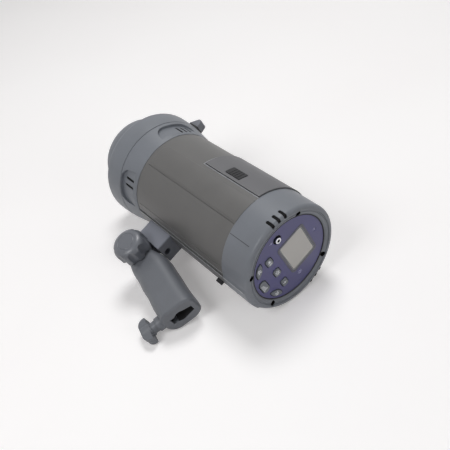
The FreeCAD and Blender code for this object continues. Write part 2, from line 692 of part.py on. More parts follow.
def battery_well():
    """Tray under the pack, with a wall at each end of the opening."""
    floor_z1 = PACK_FLOOR - GAP
    floor = box(SEAM_X + TOUCH, PACK_X1 + GAP + WELL_T, -BODY_IN, BODY_IN, floor_z1 - WELL_T, floor_z1)
    wall = box(PACK_X1 + GAP, PACK_X1 + GAP + WELL_T, -BODY_IN, BODY_IN, floor_z1 - WELL_T, BODY_IN)
    back = box(SEAM_X - WELL_T, SEAM_X + TOUCH, -BODY_IN, BODY_IN, floor_z1 - WELL_T, BODY_IN)
    tray = fuse([floor, wall, back])
    return tray.common(rod(SEAM_X - WELL_T, PACK_X1 + GAP + WELL_T, BODY_IN - TOUCH))


def battery_contacts():
    """Sockets on the well's front wall that the pack's blades meet."""
    x0 = PACK_X1 + GAP + WELL_T + TOUCH
    low = PACK_FLOOR + 2
    blocks = [box(x0, x0 + 6, y - BLADE_W / 2 - 1, y + BLADE_W / 2 + 1, low, low + BLADE_H + 4)
              for y in CONTACT_PLACES]
    return Part.makeCompound(blocks)


# ---- electronics and cooling --------------------------------------------------------------
SINK_R = 26.0
FIN_L = 16.0
FIN_H = 40.0
FIN_T = 1.2
FIN_PITCH = 5.0
FAN_X0 = -106.0
FAN_X1 = -91.5
FAN_HALF = 30.0
FAN_HUB_R = 10.0
FAN_BLADES = 7
FAN_SHAFT_R = 1.5
FAN_ARM_T = 2.5


def heat_sink():
    """Finned block behind the bulkhead."""
    x1 = CHASSIS_X0 - TOUCH
    base = rod(x1 - 3, x1, SINK_R)
    half = FIN_H / 2
    fins = [box(x1 - FIN_L, x1 - 2, i * FIN_PITCH - FIN_T / 2, i * FIN_PITCH + FIN_T / 2, -half, half)
            for i in range(-3, 4)]
    return fuse([base] + fins)


def fan_frame():
    """Square frame with a round duct and a three-armed spider behind the rotor."""
    frame = round_plate(2 * FAN_HALF, 2 * FAN_HALF, 5.0, FAN_X0, FAN_X1)
    frame = frame.cut(rod(FAN_X0 - 1, FAN_X1 + 1, FAN_HALF - 2))
    arm = box(FAN_X0, FAN_X0 + FAN_ARM_T, -1.5, 1.5, 6.0, FAN_HALF - 1.5)
    arms = [at_angle(arm, angle) for angle in (0, 120, 240)]
    hub = rod(FAN_X0, FAN_X0 + FAN_ARM_T, 8.0)
    pin = rod(FAN_X0, FAN_X1 - 3, FAN_SHAFT_R)
    return fuse([frame, hub, pin] + arms)


def fan_rotor():
    """Hub with pitched blades, running on the frame's pin."""
    x0 = FAN_X0 + FAN_ARM_T + 0.7
    hub = rod(x0, FAN_X1 - 1, FAN_HUB_R)
    blade = box(-1.0, 1.0, -5.5, 5.5, FAN_HUB_R - 2, FAN_HALF - 3)
    blade = blade.rotated(ORIGIN, AXIS_Z, 50).translated(V((x0 + FAN_X1 - 1) / 2, 0, 0))
    blades = [at_angle(blade, 360.0 * i / FAN_BLADES) for i in range(FAN_BLADES)]
    reach = rod(x0, FAN_X1 - 1, FAN_HALF - 3)
    rotor = fuse([hub] + [piece.common(reach) for piece in blades])
    return rotor.cut(rod(x0 - 1, FAN_X1 - 2.5, FAN_SHAFT_R + PIN_GAP))


BOARD_Z = -8.0
BOARD_T = 1.6
BOARD_X1 = -112.0
BOARD_L = 128.0
BOARD_HALF = 44.0
CAP_R = 13.5
CAP_X1 = -160.0
CAP_L = 62.0
CAP_PITCH = 30.0
CORE_X1 = -122.0
CORE_L = 28.0
CORE_H = 20.0


def main_board():
    return box(BOARD_X1 - BOARD_L, BOARD_X1, -BOARD_HALF, BOARD_HALF, BOARD_Z - BOARD_T, BOARD_Z)


def charge_transformer():
    half = CORE_L / 2
    core = box(CORE_X1 - CORE_L, CORE_X1, -half, half, BOARD_Z + TOUCH, BOARD_Z + CORE_H)
    coil = box(CORE_X1 - CORE_L + 4, CORE_X1 - 4, -half - 4, half + 4, BOARD_Z + 2, BOARD_Z + CORE_H - 2)
    return fuse([core, coil])


def capacitors():
    """Flash capacitors lying under the board."""
    axis_z = BOARD_Z - BOARD_T - TOUCH - CAP_R - 1.0
    places = [(-CAP_PITCH, axis_z), (0.0, axis_z - 5.0), (CAP_PITCH, axis_z)]
    return Part.makeCompound([rod(CAP_X1 - CAP_L, CAP_X1, CAP_R, y, z) for y, z in places])


# ---- bracket and handle -------------------------------------------------------------------
TONGUE_Y = 6.6
DISC_T = 0.4
TONGUE_R = HEAD_R - GAP
TONGUE_NECK = 9.0          # half width between the eye and the block


def bracket_block():
    """Block under the rail with the umbrella hole and the tongue that the handle grips."""
    top = box(BLOCK_X0, BLOCK_X1, -BLOCK_Y, BLOCK_Y, BLOCK_Z, -BODY_R + 8)
    upright = [edge for edge in top.Edges if abs(edge.tangentAt(edge.FirstParameter).z) > 0.9]
    top = top.makeFillet(2.0, upright)
    neck = box(PIVOT_X - TONGUE_NECK, PIVOT_X + TONGUE_NECK, -TONGUE_Y, TONGUE_Y, PIVOT_Z, BLOCK_Z + 1)
    eye = cross_rod(-TONGUE_Y, TONGUE_Y, TONGUE_R, PIVOT_X, PIVOT_Z)
    block = fuse([top, neck, eye])
    cuts = [rod(BLOCK_X0 - 5, BLOCK_X1 + 5, RAIL_OUT + TOUCH)]
    cuts.append(rod(BLOCK_X0 - 1, BLOCK_X1 + 1, UMBRELLA_R, 0, UMBRELLA_Z))
    cuts.append(cross_rod(-TONGUE_Y - 1, TONGUE_Y + 1, SHAFT_HOLE, PIVOT_X, PIVOT_Z))
    cuts += [post(-BODY_R - 9, -BODY_R + 9, SCREW_R, x, y) for x, y in BLOCK_SCREWS]
    return cut(block, cuts)


def bracket_screws():
    """Screws from inside the rail into the block."""
    screws = []
    for x, y in BLOCK_SCREWS:
        head = post(-BODY_IN + 3, -BODY_IN + 6, SCREW_HEAD_R, x, y)
        shank = post(-BODY_R - 8.5, -BODY_IN + 4, SCREW_R - TOUCH, x, y)
        screws.append(fuse([head, shank]))
    return Part.makeCompound(screws)


def friction_discs():
    """Fibre discs on both faces of the tongue."""
    disc = cross_rod(TONGUE_Y + TOUCH, TONGUE_Y + DISC_T, TONGUE_R - 2, PIVOT_X, PIVOT_Z)
    disc = disc.cut(cross_rod(0, 20, SHAFT_HOLE, PIVOT_X, PIVOT_Z))
    return Part.makeCompound(both_sides(disc))


def swing(shape):
    """Swings a piece drawn on the straight-down handle into its folded-back place."""
    return shape.rotated(V(PIVOT_X, 0, PIVOT_Z), AXIS_Y, HANDLE_ANGLE)


def grip_section(along, front, back, half_y):
    """Rounded section across the straight-down handle, at a distance along it from the pivot."""
    z = PIVOT_Z - along
    radius = 0.72 * min((front + back) / 2, half_y)
    x1 = PIVOT_X + front
    x0 = PIVOT_X - back
    k = radius * (1 - math.sqrt(0.5))
    corners = [(x1, half_y, -1, -1), (x0, half_y, 1, -1), (x0, -half_y, 1, 1), (x1, -half_y, -1, 1)]
    edges = []
    ends = []
    for number, (cx, cy, sx, sy) in enumerate(corners):
        on_side = V(cx, cy + sy * radius, z)
        on_flat = V(cx + sx * radius, cy, z)
        middle = V(cx + sx * k, cy + sy * k, z)
        first, last = (on_side, on_flat) if number % 2 == 0 else (on_flat, on_side)
        edges.append(Part.Arc(first, middle, last).toShape())
        ends.append((first, last))
    wire = []
    for number in range(4):
        wire.append(edges[number])
        wire.append(Part.makeLine(ends[number][1], ends[(number + 1) % 4][0]))
    return Part.Wire(wire)


def stand_socket():
    """Round bore for a stand spigot with a vee on the body side and relief for the clamp pad."""
    mouth_z = PIVOT_Z - HANDLE_L
    top_z = mouth_z + STAND_L
    bore = post(mouth_z - 1, top_z, STAND_R, GRIP_X)
    tangent_x = -STAND_R * math.cos(math.radians(60))
    tangent_y = STAND_R * math.sin(math.radians(60))
    points = [(tangent_x, tangent_y), (VEE_TIP_X, VEE_TIP_Y), (VEE_TIP_X, -VEE_TIP_Y),
              (tangent_x, -tangent_y)]
    corners = [V(GRIP_X + x, y, mouth_z - 1) for x, y in points]
    vee = Part.Face(Part.makePolygon(corners + corners[:1])).extrude(V(0, 0, STAND_L + 1))
    half = PAD_R + GAP
    relief = box(GRIP_X, GRIP_X + 12.0, -half, half, mouth_z - 1, PIVOT_Z - CLAMP_S + half)
    return fuse([bore, vee, relief])


PAD_R = 4.6
PAD_T = 3.0
END_ROUND = 2.0
VEE_TIP_X = -15.5           # vee's floor, from the socket's axis
VEE_TIP_Y = 4.4
PAD_X0 = GRIP_SHIFT + STAND_R + 0.5
PAD_X1 = PAD_X0 + PAD_T
BOSS_R = 8.2
BOSS_X = 20.0
COUNTER_X = 15.4
NECK_R = 6.6
INSERT_R = 6.4
WING_X0 = 29.0
WING_X1 = 39.5
WING_L = 29.0
WING_Y = 6.2


def clamp_rod(x0, x1, radius):
    """Cylinder on the clamp screw's axis, from x0 to x1 ahead of the pivot line."""
    return rod(PIVOT_X + x0, PIVOT_X + x1, radius, 0, PIVOT_Z - CLAMP_S)


def handle_grip():
    """Forked grip with a stand socket in its end and a boss for the clamp screw."""
    sections = [(0.0, HEAD_R - 0.2, HEAD_R - 0.2, HANDLE_Y), (11.0, 17.0, 18.6, HANDLE_Y),
                (25.0, 17.2, 24.6, HANDLE_Y), (37.0, 16.2, 25.8, HANDLE_Y - 0.2),
                (49.0, 16.2, 26.6, HANDLE_Y - 0.4), (61.0, 15.0, 27.2, HANDLE_Y - 0.2),
                (73.0, 15.0, 27.8, HANDLE_Y), (88.0, 14.0, 29.4, HANDLE_Y + 0.4)]
    along, front, back, half_y = HANDLE_L - END_ROUND, 14.0, 30.2, HANDLE_Y + 0.5
    last = (along, front, back, half_y)
    face = (HANDLE_L, front - END_ROUND, back - END_ROUND, half_y - END_ROUND)
    grip = Part.makeLoft([grip_section(*section) for section in sections + [last]], True)
    end = Part.makeLoft([grip_section(*section) for section in (last, face)], True)
    barrel = cross_rod(-HANDLE_Y, HANDLE_Y, HEAD_R, PIVOT_X, PIVOT_Z)
    boss = clamp_rod(8.0, BOSS_X, BOSS_R)
    body = fuse([grip, end, barrel, boss])
    fork = fuse([cross_rod(-FORK_Y, FORK_Y, HEAD_R + 0.6, PIVOT_X, PIVOT_Z),
                 box(PIVOT_X - 40, PIVOT_X + 40, -FORK_Y, FORK_Y, PIVOT_Z, PIVOT_Z + 40)])
    cuts = [fork, stand_socket(), cross_rod(-30, 30, SHAFT_HOLE, PIVOT_X, PIVOT_Z)]
    cuts += both_sides(cross_rod(HANDLE_Y, HANDLE_Y + 5, KNOB_R + 1, PIVOT_X, PIVOT_Z))
    cuts.append(hex_bar(-HANDLE_Y - 1, -HANDLE_Y + HEX_T, HEX_R + 0.2))
    cuts.append(clamp_rod(GRIP_SHIFT, PAD_X1 + 2, PAD_R + 0.2))
    cuts.append(clamp_rod(PAD_X1, COUNTER_X + 1, INSERT_R + TOUCH))
    cuts.append(clamp_rod(COUNTER_X, BOSS_X + 1, NECK_R + SLIDE_GAP))
    return swing(cut(body, cuts))


HEX_R = 7.4
HEX_T = 5.0
KNOB_R = 19.8
KNOB_Y0 = HANDLE_Y + 1.8
KNOB_Y1 = 40.0
KNOB_DOME = 8.5
KNOB_LOBES = 8
KNOB_INSERT_R = 6.5
SCALLOP_R = 7.0
SCALLOP_DEEP = 2.2
WASHER_T = 1.5


def hex_bar(y0, y1, radius):
    """Hexagonal bar on the tilt pivot's axis."""
    corners = []
    for i in range(7):
        angle = math.radians(60 * i)
        corners.append(V(PIVOT_X + radius * math.cos(angle), y0, PIVOT_Z + radius * math.sin(angle)))
    return Part.Face(Part.makePolygon(corners)).extrude(V(0, y1 - y0, 0))


def pivot_bolt():
    """Bolt through both ears and the tongue, its head held in the right ear."""
    head = hex_bar(-HANDLE_Y + 0.6, -HANDLE_Y + HEX_T - TOUCH, HEX_R)
    shank = cross_rod(-HANDLE_Y + 2, KNOB_Y1 - 8, BOLT_R, PIVOT_X, PIVOT_Z)
    return swing(fuse([head, shank]))


def knob_washer():
    y0 = HANDLE_Y + 0.15
    washer = cross_rod(y0, y0 + WASHER_T, 10.0, PIVOT_X, PIVOT_Z)
    return swing(washer.cut(cross_rod(y0 - 1, y0 + 3, SHAFT_HOLE, PIVOT_X, PIVOT_Z)))


def tilt_knob():
    """Domed hand knob with soft lobes and a fine groove round its top."""
    base = cross_rod(KNOB_Y0, KNOB_Y1, KNOB_R, PIVOT_X, PIVOT_Z)
    rim = [edge for edge in base.Edges if abs(edge.CenterOfMass.y - KNOB_Y1) < 0.1]
    base = base.makeFillet(KNOB_DOME, rim)
    reach = KNOB_R + SCALLOP_R - SCALLOP_DEEP
    scallops = []
    for i in range(KNOB_LOBES):
        angle = math.radians(360.0 * i / KNOB_LOBES + 10)
        x = PIVOT_X + reach * math.cos(angle)
        z = PIVOT_Z + reach * math.sin(angle)
        scallops.append(cross_rod(KNOB_Y0 - 1, KNOB_Y1 + 1, SCALLOP_R, x, z))
    groove = Part.makeTorus(KNOB_R - KNOB_DOME - 1.0, 0.5, V(PIVOT_X, KNOB_Y1 + 0.1, PIVOT_Z), AXIS_Y)
    pocket = cross_rod(KNOB_Y0 - 1, KNOB_Y1 - 4.5, KNOB_INSERT_R + TOUCH, PIVOT_X, PIVOT_Z)
    return swing(cut(base, scallops + [groove, pocket]))


def knob_insert():
    """Threaded brass bush moulded into the knob."""
    bush = cross_rod(KNOB_Y0 + 0.2, KNOB_Y1 - 7.0, KNOB_INSERT_R, PIVOT_X, PIVOT_Z)
    return swing(bush.cut(cross_rod(KNOB_Y0 - 1, KNOB_Y1, SHAFT_HOLE, PIVOT_X, PIVOT_Z)))


def clamp_insert():
    bush = clamp_rod(PAD_X1 + 2 + TOUCH, COUNTER_X - TOUCH, INSERT_R)
    return swing(bush.cut(clamp_rod(PAD_X0, BOSS_X, SHAFT_HOLE)))


def clamp_pad():
    """Soft-faced pad that the clamp screw pushes against the spigot."""
    return swing(clamp_rod(PAD_X0, PAD_X1, PAD_R))


def clamp_screw():
    return swing(clamp_rod(PAD_X1 + 0.1, WING_X0 + 4, BOLT_R))


def wing_head():
    """Oval wing with a round neck, moulded on the clamp screw."""
    neck = clamp_rod(BOSS_X - 0.3, WING_X0 + 1, NECK_R)
    z = PIVOT_Z - CLAMP_S
    middle = (WING_X0 + WING_X1) / 2
    wing = box(PIVOT_X + WING_X0, PIVOT_X + WING_X1, -WING_Y, WING_Y, z - WING_L / 2, z + WING_L / 2)
    across = [edge for edge in wing.Edges if abs(edge.tangentAt(edge.FirstParameter).y) > 0.9
              and edge.CenterOfMass.x > PIVOT_X + middle]
    wing = wing.makeFillet(8.0, across)
    hub = clamp_rod(WING_X0 - 2, WING_X1 - 1, NECK_R + 1.4)
    head = fuse([neck, wing, hub])
    return swing(head.cut(clamp_rod(0, WING_X0 + 4 + TOUCH, BOLT_R + TOUCH)))


# ---- the pieces ---------------------------------------------------------------------------
def main():
    pieces = [front_housing, mount_collar, bayonet_ring, reflector_pan, tube_socket, flash_tube,
              modelling_lamp, glass_dome, chassis, release_lever, lever_shoe, lock_pin, mid_shell,
              bottom_rail, switch_base, power_slider, rear_housing, rear_screws, panel_plate, lcd_module,
              lcd_window, sync_jack, jack_cup, optical_sensor, panel_board, battery_case, battery_cells,
              battery_terminals, battery_well, battery_contacts, heat_sink, fan_frame, fan_rotor,
              main_board, charge_transformer, capacitors, bracket_block, bracket_screws, friction_discs,
              handle_grip, pivot_bolt, knob_washer, tilt_knob, knob_insert, clamp_insert, clamp_pad,
              clamp_screw, wing_head]
    for piece in pieces:
        export(piece.__name__, piece())
    for name in BUTTONS:
        export(name, button(name))
    left, right = both_sides(battery_latch())
    export("battery_latch_left", left)
    export("battery_latch_right", right)


os.makedirs("parts", exist_ok=True)
main()
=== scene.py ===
import math

import bmesh
import bpy
import numpy as np
from mathutils import Matrix, Vector


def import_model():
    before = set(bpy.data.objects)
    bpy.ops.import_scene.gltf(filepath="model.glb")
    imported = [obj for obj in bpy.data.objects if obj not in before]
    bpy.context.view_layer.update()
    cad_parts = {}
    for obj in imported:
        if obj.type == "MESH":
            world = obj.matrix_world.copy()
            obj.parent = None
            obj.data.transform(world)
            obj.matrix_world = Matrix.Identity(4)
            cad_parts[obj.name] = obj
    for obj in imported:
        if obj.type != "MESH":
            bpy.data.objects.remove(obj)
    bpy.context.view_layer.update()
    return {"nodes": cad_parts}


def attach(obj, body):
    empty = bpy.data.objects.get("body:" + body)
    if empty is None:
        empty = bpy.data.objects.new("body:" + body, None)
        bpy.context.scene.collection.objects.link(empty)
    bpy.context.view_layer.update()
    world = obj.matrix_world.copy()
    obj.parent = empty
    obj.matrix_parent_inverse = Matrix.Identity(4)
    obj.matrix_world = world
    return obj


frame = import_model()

# Monolight strobe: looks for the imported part, a pale floor, soft light and one camera.
# Pieces are drawn in millimetres with the strobe upright (+X forward along the optical axis,
# +Y to the operator's left, +Z up) and are then rolled onto the side that the part lies on.

NODES = frame["nodes"]
MM = 0.001
LIE_ANGLE = 67.6
ROLL = Matrix.Rotation(math.radians(LIE_ANGLE), 4, "X") @ Matrix.Scale(MM, 4)


# ---- materials ----------------------------------------------------------------------------
WEAR_WIDTH = 0.0009         # how far rubbing reaches from an edge, in metres
RUBBED = 1.55               # how much paler a rubbed edge is


def linear(code):
    """Linear RGBA of an sRGB code such as "74787f"."""
    out = []
    for i in (0, 2, 4):
        c = int(code[i:i + 2], 16) / 255
        out.append(c / 12.92 if c <= 0.04045 else ((c + 0.055) / 1.055) ** 2.4)    # sRGB curve
    return (*out, 1.0)


def scaled(color, factor):
    return (*[min(1.0, c * factor) for c in color[:3]], 1.0)


def add(tree, kind, links=(), **values):
    """A new node with its inputs set by name, and links of (input, socket)."""
    node = tree.nodes.new("ShaderNode" + kind)
    for key, value in values.items():
        if key in node.inputs:
            node.inputs[key].default_value = value
        else:
            setattr(node, key, value)
    for key, socket in links:
        tree.links.new(socket, node.inputs[key])
    return node


def new_material(name, **values):
    mat = bpy.data.materials.new(name)
    mat.use_nodes = True
    tree = mat.node_tree
    shader = tree.nodes["Principled BSDF"]
    for key, value in values.items():
        shader.inputs[key.replace("_", " ")].default_value = value
    return mat, tree, shader


def ramp(tree, fac, low, high, at=(0.3, 0.7)):
    node = add(tree, "ValToRGB", [("Fac", fac)])
    for element, place, color in zip(node.color_ramp.elements, at, (low, high)):
        element.position = place
        element.color = color
    return node.outputs["Color"]


def span(tree, fac, low, high, at=(0.3, 0.7)):
    node = add(tree, "MapRange", [("Value", fac)])
    node.inputs["From Min"].default_value, node.inputs["From Max"].default_value = at
    node.inputs["To Min"].default_value, node.inputs["To Max"].default_value = low, high
    return node.outputs["Result"]


def edge_mask(tree, radius):
    """1 on sharp edges and 0 on open faces."""
    bevel = add(tree, "Bevel", samples=6)
    bevel.inputs["Radius"].default_value = radius
    geometry = add(tree, "NewGeometry")
    dot = add(tree, "VectorMath", operation="DOT_PRODUCT")
    tree.links.new(bevel.outputs["Normal"], dot.inputs[0])
    tree.links.new(geometry.outputs["Normal"], dot.inputs[1])
    return span(tree, dot.outputs["Value"], 1.0, 0.0, (0.80, 0.985)), bevel


def noise(tree, place, scale, detail, **values):
    node = add(tree, "TexNoise", [("Vector", place)], Scale=scale, Detail=detail, **values)
    return node.outputs["Fac"]


def moulded(name, code, rough=0.5, grain=0.45, relief=0.04, mottle=0.06, wear=0.0, coat=0.0,
            specular=0.5):
    """Moulded plastic: spark-eroded grain, faint mottling, and paler rubbed edges."""
    color = linear(code)
    mat, tree, shader = new_material(name, Coat_Weight=coat, Coat_Roughness=0.25,
                                     Specular_IOR_Level=specular)
    place = add(tree, "TexCoord").outputs["Object"]
    broad = noise(tree, place, 22.0, 4.0, Roughness=0.6)
    fine = noise(tree, place, 1000 / grain, 3.0, Roughness=0.55)
    pits = add(tree, "TexVoronoi", [("Vector", place)], Scale=700 / grain).outputs["Distance"]
    blend = add(tree, "Math", operation="MULTIPLY_ADD")
    tree.links.new(fine, blend.inputs[0])
    blend.inputs[1].default_value = 0.45
    tree.links.new(broad, blend.inputs[2])
    tint = ramp(tree, blend.outputs["Value"], scaled(color, 1 - mottle), scaled(color, 1 + mottle),
                (0.55, 0.9))
    if wear:
        edge, bevel = edge_mask(tree, WEAR_WIDTH)
        rub = add(tree, "Math", operation="MULTIPLY")
        tree.links.new(edge, rub.inputs[0])
        tree.links.new(span(tree, broad, 0.35 * wear, wear), rub.inputs[1])
        mix = add(tree, "Mix", data_type="RGBA")
        tree.links.new(rub.outputs["Value"], mix.inputs[0])
        tree.links.new(tint, mix.inputs[6])
        mix.inputs[7].default_value = scaled(color, RUBBED)
        tint = mix.outputs[2]
    tree.links.new(tint, shader.inputs["Base Color"])
    dull = span(tree, blend.outputs["Value"], rough - 0.05, rough + 0.07, (0.5, 0.95))
    tree.links.new(dull, shader.inputs["Roughness"])
    height = add(tree, "Math", operation="ADD")
    tree.links.new(fine, height.inputs[0])
    tree.links.new(pits, height.inputs[1])
    bump = add(tree, "Bump", [("Height", height.outputs["Value"])], Strength=0.5,
               Distance=relief * MM)
    if wear:
        tree.links.new(bevel.outputs["Normal"], bump.inputs["Normal"])
    tree.links.new(bump.outputs["Normal"], shader.inputs["Normal"])
    return mat


def metal(name, code, rough=0.3, stretch=(1, 1, 1), lines=900.0, relief=0.02, anodised=0.0):
    """Metal with fine machining lines, stretched along one axis."""
    color = linear(code)
    mat, tree, shader = new_material(name, Metallic=1.0 - anodised)
    place = add(tree, "TexCoord").outputs["Object"]
    mapping = add(tree, "Mapping", [("Vector", place)])
    mapping.inputs["Scale"].default_value = stretch
    marks = noise(tree, mapping.outputs["Vector"], lines, 3.0)
    cloud = noise(tree, place, 60.0, 3.0)
    tint = ramp(tree, marks, scaled(color, 0.88), scaled(color, 1.06))
    tree.links.new(tint, shader.inputs["Base Color"])
    tree.links.new(span(tree, cloud, rough - 0.06, rough + 0.08), shader.inputs["Roughness"])
    bump = add(tree, "Bump", [("Height", marks)], Strength=0.35, Distance=relief * MM)
    tree.links.new(bump.outputs["Normal"], shader.inputs["Normal"])
    return mat


def glass(name, code, rough, ior=1.46, flow=0.02):
    """Clear or frosted glass with slight waviness and a faint haze."""
    color = linear(code)
    mat, tree, shader = new_material(name, Transmission_Weight=1.0, IOR=ior)
    place = add(tree, "TexCoord").outputs["Object"]
    haze = noise(tree, place, 90.0, 4.0)
    tree.links.new(ramp(tree, haze, scaled(color, 0.97), color), shader.inputs["Base Color"])
    tree.links.new(span(tree, haze, rough, rough + 0.06), shader.inputs["Roughness"])
    bump = add(tree, "Bump", [("Height", haze)], Strength=0.2, Distance=flow * MM)
    tree.links.new(bump.outputs["Normal"], shader.inputs["Normal"])
    return mat


def glowing(name, code, rough):
    """Phosphor: dotted yellow grains under a clear skin."""
    color = linear(code)
    mat, tree, shader = new_material(name, Coat_Weight=0.8)
    place = add(tree, "TexCoord").outputs["Object"]
    grains = add(tree, "TexVoronoi", [("Vector", place)], Scale=1500.0).outputs["Distance"]
    tint = ramp(tree, grains, scaled(color, 1.1), scaled(color, 0.75))
    tree.links.new(tint, shader.inputs["Base Color"])
    tree.links.new(span(tree, grains, rough, rough + 0.2), shader.inputs["Roughness"])
    return mat


def circuit(name, code, copper):
    """Lacquered board with a net of tracks."""
    mat, tree, shader = new_material(name, Coat_Weight=0.6)
    place = add(tree, "TexCoord").outputs["Object"]
    cells = add(tree, "TexVoronoi", [("Vector", place)], Scale=260.0,
                feature="DISTANCE_TO_EDGE").outputs["Distance"]
    tint = ramp(tree, cells, linear(copper), linear(code), (0.03, 0.07))
    tree.links.new(tint, shader.inputs["Base Color"])
    tree.links.new(span(tree, cells, 0.25, 0.45), shader.inputs["Roughness"])
    bump = add(tree, "Bump", [("Height", cells)], Strength=0.4, Distance=0.03 * MM)
    tree.links.new(bump.outputs["Normal"], shader.inputs["Normal"])
    return mat


def screen_pane(name, code):
    """Display pane: warm grey film with a fine row of cells under gloss."""
    color = linear(code)
    mat, tree, shader = new_material(name, Coat_Weight=0.5, Coat_Roughness=0.12)
    place = add(tree, "TexCoord").outputs["Object"]
    rows = add(tree, "TexWave", [("Vector", place)], Scale=900.0, Distortion=0.0,
               wave_type="BANDS", bands_direction="Y").outputs["Fac"]
    cloud = noise(tree, place, 35.0, 2.0)
    mixed = add(tree, "Math", operation="MULTIPLY_ADD")
    tree.links.new(rows, mixed.inputs[0])
    mixed.inputs[1].default_value = 0.2
    tree.links.new(cloud, mixed.inputs[2])
    tint = ramp(tree, mixed.outputs["Value"], scaled(color, 0.96), scaled(color, 1.05))
    tree.links.new(tint, shader.inputs["Base Color"])
    tree.links.new(span(tree, cloud, 0.3, 0.4), shader.inputs["Roughness"])
    return mat


MATERIALS = {
    "case_grey": moulded("case_grey", "73777e", 0.46, wear=0.5, coat=0.05),
    "shell_grey": moulded("shell_grey", "605f5e", 0.42, grain=0.6, mottle=0.05, wear=0.3),
    "rail_grey": moulded("rail_grey", "5d5d5e", 0.42, wear=0.8, coat=0.1),
    "pack_grey": moulded("pack_grey", "656568", 0.52, grain=0.5, wear=0.4),
    "latch_black": moulded("latch_black", "1d1d20", 0.5, grain=0.35, wear=0.4, specular=0.3),
    "handle_grey": moulded("handle_grey", "676a70", 0.5, grain=0.7, relief=0.06, wear=0.6,
                           coat=0.05),
    "knob_grey": moulded("knob_grey", "666970", 0.33, grain=0.5, wear=0.4, coat=0.15),
    "bracket_grey": moulded("bracket_grey", "777a84", 0.45, grain=0.4, wear=0.6),
    "collar_grey": moulded("collar_grey", "70747b", 0.4, wear=0.6),
    "lever_grey": moulded("lever_grey", "74767d", 0.42, wear=0.6),
    "trim_black": moulded("trim_black", "141416", 0.5, grain=0.5, wear=0.25),
    # deep_black: the jack cup's own black, and also the painted shade in the vents, screw
    # recesses, button gaps and jack bore
    "deep_black": moulded("deep_black", "0a0a0b", 0.7, grain=0.8, specular=0.12),
    "panel_blue": moulded("panel_blue", "3f3d73", 0.36, grain=0.3, relief=0.02, mottle=0.05,
                          wear=0.2, coat=0.2),
    "button_grey": moulded("button_grey", "6f7379", 0.48, grain=0.35, wear=0.5),
    "screen_frame": moulded("screen_frame", "3a3a4c", 0.3, grain=0.3, relief=0.01, wear=0.2,
                            coat=0.4),
    "screen_pane": screen_pane("screen_pane", "b2afaa"),
    "print_white": moulded("print_white", "e2e4e8", 0.5, grain=0.2, relief=0.01, mottle=0.04),
    "print_violet": moulded("print_violet", "a3a1c8", 0.5, grain=0.2, relief=0.01, mottle=0.06),
    "bezel_grey": moulded("bezel_grey", "8b8d90", 0.38, grain=0.4, wear=0.7, coat=0.1),
    # painted highlight: pale colour for the strips along the rail, the keel and the battery
    # opening
    "painted_highlight_pale": moulded("painted_highlight_pale", "a4a6aa", 0.4, grain=0.4, wear=0.5),
    "sensor_dark": moulded("sensor_dark", "6c6a97", 0.15, grain=0.3, relief=0.005, coat=1.0),
    "silver": metal("silver", "d6d7da", 0.2),
    "steel": metal("steel", "a7a9ad", 0.32, (1, 8, 8)),
    "black_steel": metal("black_steel", "26262a", 0.4, anodised=0.4),
    "aluminium": metal("aluminium", "c4c6c9", 0.28, (8, 1, 1)),
    "mirror": metal("mirror", "dadbdd", 0.12, lines=300.0, relief=0.01),
    "brass": metal("brass", "c8a45a", 0.28),
    "copper": metal("copper", "b8704a", 0.35, (1, 12, 1)),
    "ceramic": moulded("ceramic", "d9d5ca", 0.55, grain=0.5),
    "clear_glass": glass("clear_glass", "f4f6f7", 0.03),
    "frosted_glass": glass("frosted_glass", "f2f0ea", 0.3),
    "phosphor": glowing("phosphor", "d9b23c", 0.35),
    "board_green": circuit("board_green", "1f5a37", "3f7a4f"),
    "sleeve_blue": moulded("sleeve_blue", "27324e", 0.3, grain=0.5, coat=0.5),
    "cell_sleeve": moulded("cell_sleeve", "3f7a4a", 0.3, grain=0.5, coat=0.6),
    # the clamp pad's rubber, and also the painted shade inside the stand socket
    "rubber_and_socket_shade": moulded("rubber_and_socket_shade", "1b1b1d", 0.8, grain=0.5, relief=0.06),
    "fibre": moulded("fibre", "6a5436", 0.8, grain=0.3, relief=0.08, mottle=0.15),
}

FINISH = {
    "case_grey": ["front_housing", "rear_housing"],
    "shell_grey": ["mid_shell"],
    "rail_grey": ["bottom_rail"],
    "pack_grey": ["battery_case"],
    "latch_black": ["battery_latch_left", "battery_latch_right", "power_slider"],
    "handle_grey": ["handle_grip", "wing_head"],
    "knob_grey": ["tilt_knob"],
    "bracket_grey": ["bracket_block"],
    "collar_grey": ["mount_collar"],
    "lever_grey": ["release_lever"],
    "trim_black": ["lever_shoe", "switch_base", "fan_frame", "fan_rotor", "battery_well",
                   "clamp_insert"],
    "panel_blue": ["panel_plate"],
    "button_grey": ["button_left", "button_centre", "button_right", "button_side_left",
                    "button_side_right", "button_main"],
    "screen_frame": ["lcd_module"],
    "screen_pane": ["lcd_window"],
    "sensor_dark": ["optical_sensor"],
    "deep_black": ["jack_cup"],
    "silver": ["sync_jack"],
    "steel": ["bayonet_ring", "lock_pin", "chassis", "pivot_bolt", "knob_washer", "clamp_screw",
              "bracket_screws"],
    "black_steel": ["rear_screws"],
    "aluminium": ["heat_sink"],
    "mirror": ["reflector_pan"],
    "brass": ["knob_insert", "battery_terminals", "battery_contacts"],
    "copper": ["charge_transformer"],
    "ceramic": ["tube_socket"],
    "clear_glass": ["glass_dome"],
    "frosted_glass": ["flash_tube"],
    "phosphor": ["modelling_lamp"],
    "board_green": ["main_board", "panel_board"],
    "sleeve_blue": ["capacitors"],
    "cell_sleeve": ["battery_cells"],
    "rubber_and_socket_shade": ["clamp_pad"],
    "fibre": ["friction_discs"],
}

for finish, members in FINISH.items():
    for member in members:
        slots = NODES[member].material_slots
        if not slots:
            NODES[member].data.materials.append(MATERIALS[finish])
        for material_slot in NODES[member].material_slots:
            material_slot.material = MATERIALS[finish]


